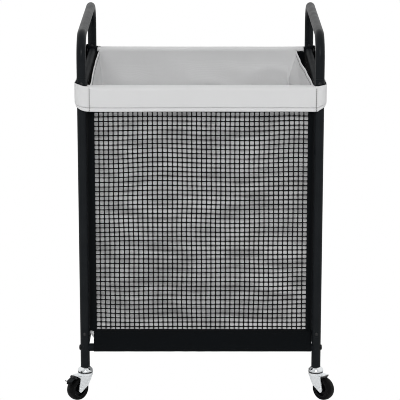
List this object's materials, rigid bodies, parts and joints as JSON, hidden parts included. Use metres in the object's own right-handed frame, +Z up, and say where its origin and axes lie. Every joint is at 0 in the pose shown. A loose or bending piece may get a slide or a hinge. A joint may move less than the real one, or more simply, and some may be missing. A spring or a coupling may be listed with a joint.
{
  "type": "laundry sorter on wheels",
  "caption": "Tall square laundry sorter: a tube frame with a push handle each side, a mesh bag with a turned-down grey cuff, and swivel casters with foot brakes.",
  "frame": {"origin": "on the floor, below the middle of the four legs; the bottom centre of the box lies 1.6 mm from it towards -X, because the front left brake pedal sticks out there", "axes": "+Z up, -Y the front with the bag's front panel, +X to the right seen from the front; one push handle on each X side"},
  "size_m": [0.5579, 0.5212, 0.77],
  "materials": {
    "frame_tube": "semi-gloss black powder coat",
    "bolt_steel": "black oxide",
    "ball_steel": "polished",
    "black_plastic": "matt moulded",
    "hub_plastic": "smooth moulded",
    "tyre_rubber": "matt rubber",
    "zinc": "bright zinc plate",
    "grey_cloth": "light grey lining cloth",
    "cuff_cloth": "light grey woven cloth",
    "black_cloth": "black woven cloth",
    "black_mesh": "coated open square mesh",
    "base_board": "cloth-covered stiff board"
  },
  "bodies": {
    "frame": {"left_handle_hoop": "frame_tube", "right_handle_hoop": "frame_tube", "front_left_post": "frame_tube", "front_right_post": "frame_tube", "rear_left_post": "frame_tube", "rear_right_post": "frame_tube", "front_left_leg": "frame_tube", "front_right_leg": "frame_tube", "rear_left_leg": "frame_tube", "rear_right_leg": "frame_tube", "left_top_rail": "frame_tube", "right_top_rail": "frame_tube", "front_top_rail": "frame_tube", "rear_top_rail": "frame_tube", "left_bottom_rail": "frame_tube", "right_bottom_rail": "frame_tube", "front_bottom_rail": "frame_tube", "rear_bottom_rail": "frame_tube", "base_support_bars": "frame_tube", "rail_bolts": "bolt_steel", "tube_joint_screws": "bolt_steel", "caster_sockets": "black_plastic", "bag_liner": "grey_cloth", "base_board": "base_board", "front_mesh_panel": "black_mesh", "rear_mesh_panel": "black_mesh", "left_mesh_panel": "black_mesh", "right_mesh_panel": "black_mesh", "corner_bindings": "black_cloth", "front_cuff": "cuff_cloth", "rear_cuff": "cuff_cloth", "left_cuff": "cuff_cloth", "right_cuff": "cuff_cloth", "front_rail_sleeve": "black_cloth", "rear_rail_sleeve": "black_cloth", "side_bottom_bands": "black_cloth", "caster_stems": "zinc", "swivel_balls": "ball_steel"},
    "front_left_swivel": {"front_left_fork": "zinc", "front_left_axle": "zinc", "front_left_pedal_pin": "ball_steel"},
    "front_left_wheel": {"front_left_wheel_hub": "hub_plastic", "front_left_tyre": "tyre_rubber"},
    "front_left_brake": {"front_left_brake_pedal": "frame_tube", "front_left_brake_pad": "tyre_rubber"},
    "front_right_swivel": {"front_right_fork": "zinc", "front_right_axle": "zinc"},
    "front_right_wheel": {"front_right_wheel_hub": "hub_plastic", "front_right_tyre": "tyre_rubber"},
    "rear_left_swivel": {"rear_left_fork": "zinc", "rear_left_axle": "zinc"},
    "rear_left_wheel": {"rear_left_wheel_hub": "hub_plastic", "rear_left_tyre": "tyre_rubber"},
    "rear_right_swivel": {"rear_right_fork": "zinc", "rear_right_axle": "zinc", "rear_right_pedal_pin": "ball_steel"},
    "rear_right_wheel": {"rear_right_wheel_hub": "hub_plastic", "rear_right_tyre": "tyre_rubber"},
    "rear_right_brake": {"rear_right_brake_pedal": "frame_tube", "rear_right_brake_pad": "tyre_rubber"}
  },
  "joints": [
    {"name": "front_left_swivel_turn", "type": "hinge", "parent": "frame", "child": "front_left_swivel", "pos_m": [-0.24, -0.22, 0.052], "axis": [0, 0, 1], "continuous": true},
    {"name": "front_left_wheel_spin", "type": "hinge", "parent": "front_left_swivel", "child": "front_left_wheel", "pos_m": [-0.25556, -0.23556, 0.024], "axis": [0.7071, -0.7071, 0], "continuous": true},
    {"name": "front_left_brake_press", "type": "hinge", "parent": "front_left_swivel", "child": "front_left_brake", "pos_m": [-0.26333, -0.24333, 0.051], "axis": [0.7071, -0.7071, 0], "range_deg": [0, 6]},
    {"name": "front_right_swivel_turn", "type": "hinge", "parent": "frame", "child": "front_right_swivel", "pos_m": [0.24, -0.22, 0.052], "axis": [0, 0, 1], "continuous": true},
    {"name": "front_right_wheel_spin", "type": "hinge", "parent": "front_right_swivel", "child": "front_right_wheel", "pos_m": [0.25556, -0.23556, 0.024], "axis": [0.7071, 0.7071, 0], "continuous": true},
    {"name": "rear_left_swivel_turn", "type": "hinge", "parent": "frame", "child": "rear_left_swivel", "pos_m": [-0.24, 0.22, 0.052], "axis": [0, 0, 1], "continuous": true},
    {"name": "rear_left_wheel_spin", "type": "hinge", "parent": "rear_left_swivel", "child": "rear_left_wheel", "pos_m": [-0.25556, 0.23556, 0.024], "axis": [-0.7071, -0.7071, 0], "continuous": true},
    {"name": "rear_right_swivel_turn", "type": "hinge", "parent": "frame", "child": "rear_right_swivel", "pos_m": [0.24, 0.22, 0.052], "axis": [0, 0, 1], "continuous": true},
    {"name": "rear_right_wheel_spin", "type": "hinge", "parent": "rear_right_swivel", "child": "rear_right_wheel", "pos_m": [0.22444, 0.23556, 0.024], "axis": [-0.7071, -0.7071, 0], "continuous": true},
    {"name": "rear_right_brake_press", "type": "hinge", "parent": "rear_right_swivel", "child": "rear_right_brake", "pos_m": [0.21666, 0.24333, 0.051], "axis": [-0.7071, -0.7071, 0], "range_deg": [0, 6]}
  ]
}
